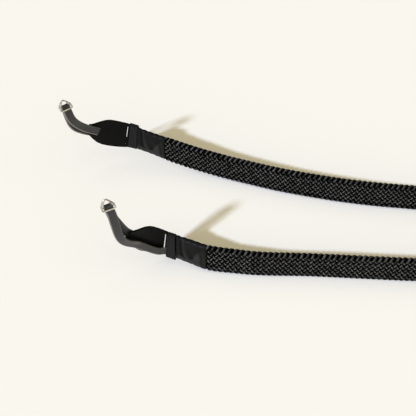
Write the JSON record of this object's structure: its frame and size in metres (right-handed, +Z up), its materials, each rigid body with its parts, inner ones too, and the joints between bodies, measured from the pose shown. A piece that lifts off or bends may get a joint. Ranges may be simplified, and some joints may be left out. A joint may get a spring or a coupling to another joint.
{
  "type": "flat braided cord camera strap",
  "caption": "Neck strap of flat braided black cord with leather sleeves, a narrow strip and a triangular wire ring at each end, standing on its edge in a long loop.",
  "frame": {"origin": "under the middle of the strap's box, on the surface that its lower edge stands on", "axes": "+X along the two runs, from the ring ends to the closed bend; +Y from the near run to the far run; +Z up"},
  "size_m": [0.5187, 0.1907, 0.1139],
  "materials": {
    "braided_cord": "black kernmantle cord, plain flat braid, dull sheen",
    "sleeve_leather": "smooth black leather with soft creases",
    "ribbed_webbing": "black ribbed webbing",
    "strip_leather": "smooth black coated leather with a burnished edge",
    "ring_steel": "polished"
  },
  "bodies": {
    "root": {"braid_band": "braided_cord", "near_sleeve": "sleeve_leather", "far_sleeve": "sleeve_leather", "near_keeper": "ribbed_webbing", "far_keeper": "ribbed_webbing", "near_tab": "sleeve_leather", "far_tab": "sleeve_leather", "near_strip": "strip_leather", "far_strip": "strip_leather", "near_ring": "ring_steel", "far_ring": "ring_steel"}
  },
  "joints": []
}
